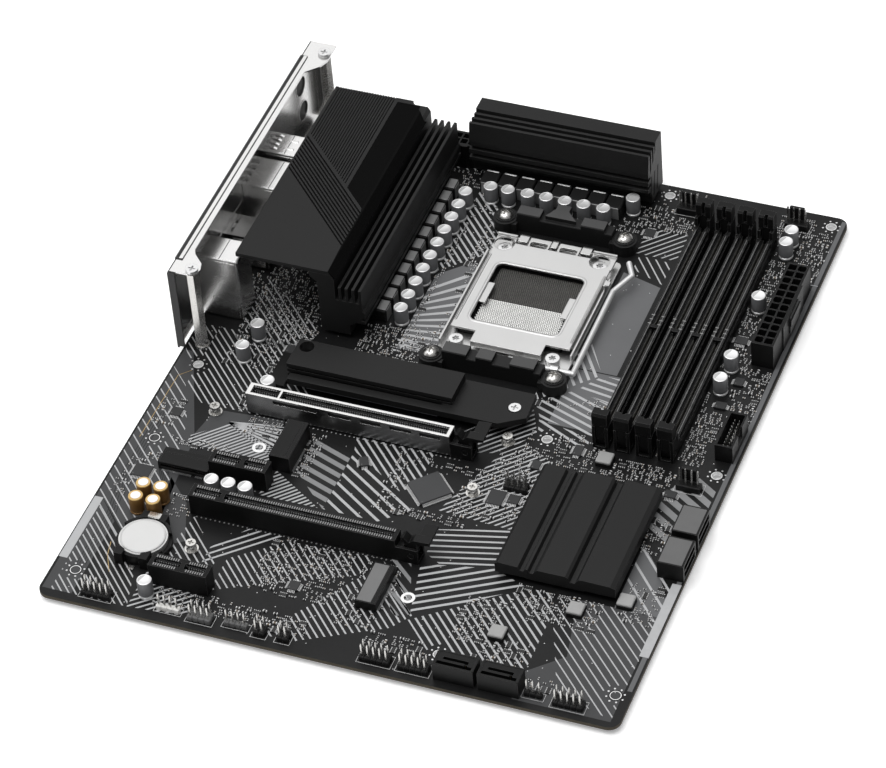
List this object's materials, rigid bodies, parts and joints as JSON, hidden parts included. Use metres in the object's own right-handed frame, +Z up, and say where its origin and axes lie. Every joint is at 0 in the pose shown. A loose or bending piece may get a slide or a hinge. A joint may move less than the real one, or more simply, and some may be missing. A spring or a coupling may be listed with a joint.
{
  "type": "motherboard",
  "caption": "Desktop computer mainboard: black circuit board with processor socket, memory and expansion slots, dark metal heatsinks, rear panel ports and power connectors.",
  "frame": {"origin": "centre of the rear lower mounting hole, on the underside of the board", "axes": "+Z up out of the component side, +X from the rear connector edge to the front edge, +Y from the bottom header edge to the top edge"},
  "size_m": [0.2468, 0.3073, 0.0471],
  "materials": {
    "solder_mask": "satin black solder mask on glass-epoxy laminate with light stripe print",
    "zinc_steel": "satin zinc or nickel plated steel sheet",
    "black_plastic": "black moulded glass-filled plastic",
    "gold_contacts": "gold plated spring contacts",
    "bright_nickel": "bright nickel plating",
    "chip_package": "black moulded chip packages",
    "silicone_pad": "grey silicone thermal pad",
    "black_anodised": "charcoal anodised aluminium",
    "ferrite": "dark grey pressed ferrite",
    "painted_sheet": "black painted steel sheet",
    "capacitor_can": "coated grey can with a bright top",
    "audio_capacitor_can": "gold-brown coated can",
    "plated_sheet": "bright plated sheet metal",
    "cell_steel": "stainless cell can"
  },
  "bodies": {
    "board": {"pcb": "solder_mask", "socket_backplate": "zinc_steel", "socket_body": "black_plastic", "socket_contacts": "gold_contacts", "socket_frame": "zinc_steel", "socket_screws": "zinc_steel", "cooler_bracket_top": "black_plastic", "cooler_bracket_bottom": "black_plastic", "cooler_bracket_screws": "bright_nickel", "power_stages": "chip_package", "thermal_pads": "silicone_pad", "rear_vrm_heatsink": "black_anodised", "rear_heatsink_cover": "black_anodised", "top_vrm_heatsink": "black_anodised", "chokes": "ferrite", "polymer_capacitors": "capacitor_can", "audio_capacitors": "audio_capacitor_can", "dimm_slots": "black_plastic", "graphics_slot": "black_plastic", "graphics_slot_armour": "plated_sheet", "lower_x16_slot": "black_plastic", "short_slots": "black_plastic", "m2_heatsink": "black_anodised", "m2_heatsink_screws": "zinc_steel", "m2_sockets": "black_plastic", "m2_standoffs": "bright_nickel", "chipset": "chip_package", "chipset_heatsink": "black_anodised", "io_shield": "plated_sheet", "io_shield_panel": "painted_sheet", "io_shield_posts": "bright_nickel", "io_shield_screws": "zinc_steel", "audio_jack_stack": "plated_sheet", "usb_stack_low": "plated_sheet", "network_usb_stack": "plated_sheet", "usb_stack_tall": "plated_sheet", "video_port": "plated_sheet", "main_power_socket": "black_plastic", "cpu_power_socket": "black_plastic", "usb3_header": "black_plastic", "side_sata_ports": "black_plastic", "bottom_sata_ports": "black_plastic", "header_bases": "black_plastic", "header_pins": "bright_nickel", "battery_holder": "black_plastic", "chips": "chip_package", "solder_tails": "bright_nickel"},
    "load_plate": {"load_plate": "zinc_steel"},
    "load_lever": {"load_lever": "bright_nickel"},
    "dimm_latch_top_1": {"dimm_latch_top_1": "black_plastic"},
    "dimm_latch_top_2": {"dimm_latch_top_2": "black_plastic"},
    "dimm_latch_top_3": {"dimm_latch_top_3": "black_plastic"},
    "dimm_latch_top_4": {"dimm_latch_top_4": "black_plastic"},
    "dimm_latch_bottom_1": {"dimm_latch_bottom_1": "black_plastic"},
    "dimm_latch_bottom_2": {"dimm_latch_bottom_2": "black_plastic"},
    "dimm_latch_bottom_3": {"dimm_latch_bottom_3": "black_plastic"},
    "dimm_latch_bottom_4": {"dimm_latch_bottom_4": "black_plastic"},
    "graphics_slot_latch": {"graphics_slot_latch": "black_plastic"},
    "lower_slot_latch": {"lower_slot_latch": "black_plastic"},
    "coin_cell": {"coin_cell": "cell_steel"}
  },
  "joints": [
    {"name": "load_plate_hinge", "type": "hinge", "parent": "board", "child": "load_plate", "pos_m": [0.12064, 0.23299, 0.0049], "axis": [-1, 0, 0], "range_deg": [0, 100]},
    {"name": "load_lever_hinge", "type": "hinge", "parent": "board", "child": "load_lever", "pos_m": [0.12484, 0.16109, 0.0045], "axis": [1, 0, 0], "range_deg": [0, 120]},
    {"name": "dimm_latch_top_1_hinge", "type": "hinge", "parent": "board", "child": "dimm_latch_top_1", "pos_m": [0.17744, 0.26229, 0.005], "axis": [-1, 0, 0], "range_deg": [0, 30]},
    {"name": "dimm_latch_top_2_hinge", "type": "hinge", "parent": "board", "child": "dimm_latch_top_2", "pos_m": [0.18671, 0.26229, 0.005], "axis": [-1, 0, 0], "range_deg": [0, 30]},
    {"name": "dimm_latch_top_3_hinge", "type": "hinge", "parent": "board", "child": "dimm_latch_top_3", "pos_m": [0.19598, 0.26229, 0.005], "axis": [-1, 0, 0], "range_deg": [0, 30]},
    {"name": "dimm_latch_top_4_hinge", "type": "hinge", "parent": "board", "child": "dimm_latch_top_4", "pos_m": [0.20525, 0.26229, 0.005], "axis": [-1, 0, 0], "range_deg": [0, 30]},
    {"name": "dimm_latch_bottom_1_hinge", "type": "hinge", "parent": "board", "child": "dimm_latch_bottom_1", "pos_m": [0.17744, 0.12869, 0.005], "axis": [1, 0, 0], "range_deg": [0, 30]},
    {"name": "dimm_latch_bottom_2_hinge", "type": "hinge", "parent": "board", "child": "dimm_latch_bottom_2", "pos_m": [0.18671, 0.12869, 0.005], "axis": [1, 0, 0], "range_deg": [0, 30]},
    {"name": "dimm_latch_bottom_3_hinge", "type": "hinge", "parent": "board", "child": "dimm_latch_bottom_3", "pos_m": [0.19598, 0.12869, 0.005], "axis": [1, 0, 0], "range_deg": [0, 30]},
    {"name": "dimm_latch_bottom_4_hinge", "type": "hinge", "parent": "board", "child": "dimm_latch_bottom_4", "pos_m": [0.20525, 0.12869, 0.005], "axis": [1, 0, 0], "range_deg": [0, 30]},
    {"name": "graphics_slot_latch_hinge", "type": "hinge", "parent": "board", "child": "graphics_slot_latch", "pos_m": [0.12724, 0.10689, 0.0058], "axis": [0, 1, 0], "range_deg": [0, 20], "stiffness_Nm_per_rad": 0.01},
    {"name": "lower_slot_latch_hinge", "type": "hinge", "parent": "board", "child": "lower_slot_latch", "pos_m": [0.12724, 0.04593, 0.0058], "axis": [0, 1, 0], "range_deg": [0, 20], "stiffness_Nm_per_rad": 0.01},
    {"name": "coin_cell_lift", "type": "slide", "parent": "board", "child": "coin_cell", "axis": [0, 0, 1], "range_m": [0, 0.012]}
  ]
}
